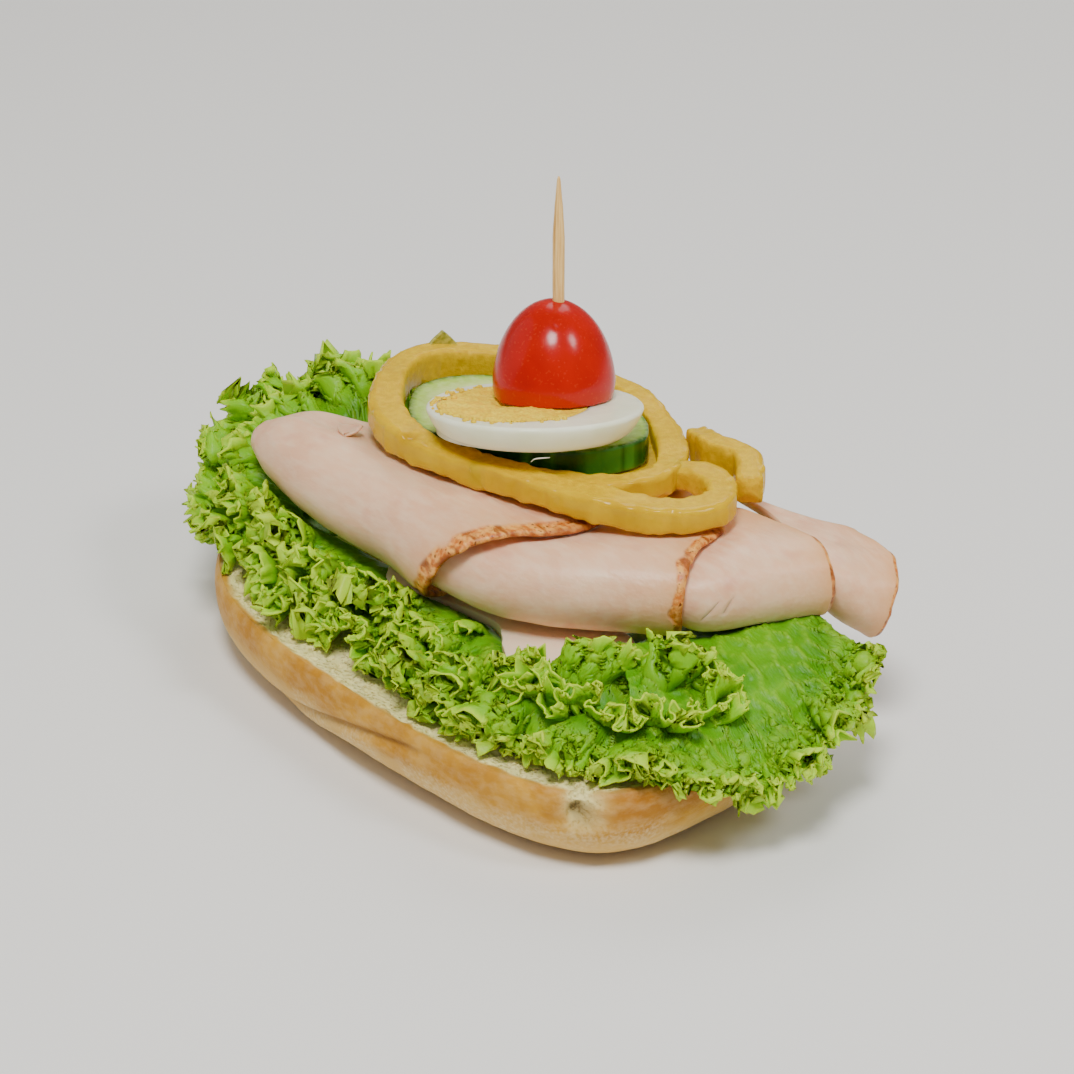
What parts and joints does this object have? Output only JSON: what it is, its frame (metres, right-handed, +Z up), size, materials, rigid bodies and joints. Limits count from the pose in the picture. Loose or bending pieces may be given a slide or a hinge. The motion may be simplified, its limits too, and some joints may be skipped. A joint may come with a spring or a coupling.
{
  "type": "open sandwich",
  "caption": "Open sandwich on half a roll: ruffled lettuce, folded sliced ham, sweet pepper, cucumber, boiled egg and tomato held by a cocktail stick.",
  "frame": {"origin": "centre of the roll's outline on its flat base", "axes": "+X along the roll towards its squarer end, +Y towards the side where the round toppings sit, +Z up along the stick's side"},
  "size_m": [0.1552, 0.0883, 0.0941],
  "materials": {
    "bread": "baked crust, dry and matt, with a pale open crumb on its cut face",
    "lettuce": "fresh leaf, softly glossy",
    "ham": "cooked sliced meat, satin, with a browned edge",
    "sweet_pepper": "moist and glossy",
    "cucumber": "moist pale flesh inside a dark skin",
    "egg_white": "smooth and softly glossy",
    "egg_yolk": "crumbly and matt",
    "tomato": "taut glossy skin",
    "wood": "plain pale wood"
  },
  "bodies": {
    "root": {"half_roll": "bread", "lettuce_front": "lettuce", "lettuce_left": "lettuce", "lettuce_right": "lettuce", "ham_slice_a": "ham", "ham_slice_b": "ham", "ham_slice_c": "ham", "ham_slice_d": "ham", "ham_slice_flat": "ham", "pepper_strip_front": "sweet_pepper", "pepper_strip_back": "sweet_pepper", "cucumber_slice": "cucumber", "egg_white": "egg_white", "egg_yolk": "egg_yolk", "tomato_half": "tomato", "cocktail_stick": "wood"}
  },
  "joints": []
}
